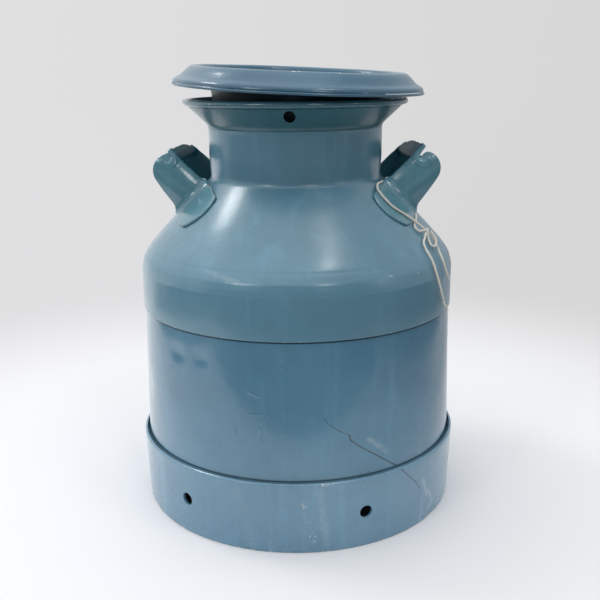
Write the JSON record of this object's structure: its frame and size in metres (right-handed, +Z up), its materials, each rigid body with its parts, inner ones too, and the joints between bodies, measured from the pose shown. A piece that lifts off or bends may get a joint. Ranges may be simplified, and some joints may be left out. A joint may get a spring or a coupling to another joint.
{
  "type": "milk can",
  "caption": "Painted sheet-steel milk can with a hooped foot, sloping breast, neck with flared mouth, sheet handles, a loose umbrella lid and a string tied round a handle.",
  "frame": {"origin": "on the floor under the can's axis", "axes": "+Z up along the can's axis; -Y is the front, where the mouth has its seal hole; +X is the side of the handle with the string"},
  "size_m": [0.343, 0.343, 0.4592],
  "materials": {
    "enamel": "gloss blue-grey paint with chips and scratches",
    "enamel_deep": "gloss deep teal paint",
    "lid_enamel": "gloss blue-grey paint, scuffed",
    "solder": "painted solder fillet",
    "tinned": "dull tinned steel",
    "cotton": "twisted undyed cotton string"
  },
  "bodies": {
    "can": {"base_hoop": "enamel", "body_shell": "enamel", "bottom_head": "tinned", "hoop_solder": "solder", "breast": "enamel", "neck": "enamel", "mouth_bowl": "enamel_deep", "mouth_bead": "enamel", "handle_left": "enamel", "handle_right": "enamel", "string_loop": "cotton", "string_knot": "cotton", "string_bow": "cotton", "string_tail_long": "cotton", "string_end_knot": "cotton", "string_tail_short": "cotton"},
    "lid": {"lid_cover": "lid_enamel", "lid_hem": "lid_enamel", "lid_plug": "enamel_deep"}
  },
  "joints": [
    {"name": "lid_lift", "type": "slide", "parent": "can", "child": "lid", "axis": [0, 0, 1], "range_m": [0, 0.12]}
  ]
}
